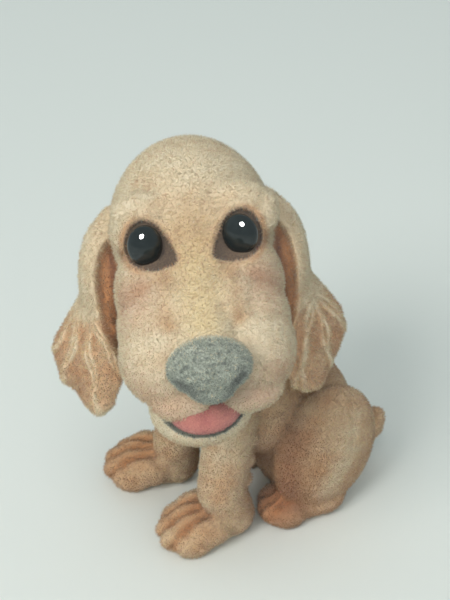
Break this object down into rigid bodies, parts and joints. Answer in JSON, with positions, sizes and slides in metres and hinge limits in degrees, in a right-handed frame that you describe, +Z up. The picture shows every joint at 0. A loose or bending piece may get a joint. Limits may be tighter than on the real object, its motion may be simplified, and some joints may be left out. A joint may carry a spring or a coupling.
{
  "type": "nodding dog figurine",
  "caption": "Seated flocked spaniel figurine with long ears, glossy bead eyes and an oversized head that nods on a hidden spring neck.",
  "frame": {"origin": "on the surface that the figurine sits on, at the middle of its bounding box", "axes": "+Z up, the body faces -Y, the dog's own left side is towards +X, and the head looks over the left shoulder"},
  "size_m": [0.0884, 0.1072, 0.1339],
  "materials": {
    "tan_flocked_ceramic": "short flock fibres, matte",
    "cream_flocked_ceramic": "short flock fibres, matte",
    "grey_flocked_ceramic": "short flock fibres, matte",
    "pink_flocked_ceramic": "short flock fibres, matte",
    "black_bead": "polished, opaque",
    "turned_beech": "turned, unvarnished",
    "spring_wire": "drawn wire"
  },
  "bodies": {
    "body": {"torso": "tan_flocked_ceramic", "foreleg_left": "tan_flocked_ceramic", "foreleg_right": "tan_flocked_ceramic", "hind_leg_left": "tan_flocked_ceramic", "hind_leg_right": "tan_flocked_ceramic", "tail": "tan_flocked_ceramic", "neck_plug": "turned_beech"},
    "neck_lower": {"spring_lower": "spring_wire"},
    "neck_middle": {"spring_middle": "spring_wire"},
    "head": {"spring_upper": "spring_wire", "head_stem": "turned_beech", "head_shell": "cream_flocked_ceramic", "lower_jaw": "cream_flocked_ceramic", "tongue": "pink_flocked_ceramic", "nose": "grey_flocked_ceramic", "ear_left": "tan_flocked_ceramic", "ear_right": "tan_flocked_ceramic", "eye_left": "black_bead", "eye_right": "black_bead"}
  },
  "joints": [
    {"name": "head_turn", "type": "hinge", "parent": "body", "child": "neck_lower", "pos_m": [-0.01372, -0.01257, 0.086], "axis": [0, 0, 1], "range_deg": [-15, 15], "stiffness_Nm_per_rad": 0.24},
    {"name": "head_nod", "type": "hinge", "parent": "neck_lower", "child": "neck_middle", "pos_m": [-0.01372, -0.01257, 0.0929], "axis": [0.3007, 0.9537, 0], "range_deg": [-10, 10], "stiffness_Nm_per_rad": 0.21, "springref_deg": -11.23},
    {"name": "head_tilt", "type": "hinge", "parent": "neck_middle", "child": "head", "pos_m": [-0.01372, -0.01257, 0.09965], "axis": [0.9537, -0.3007, 0], "range_deg": [-8, 8], "stiffness_Nm_per_rad": 0.21, "springref_deg": 0.15}
  ]
}
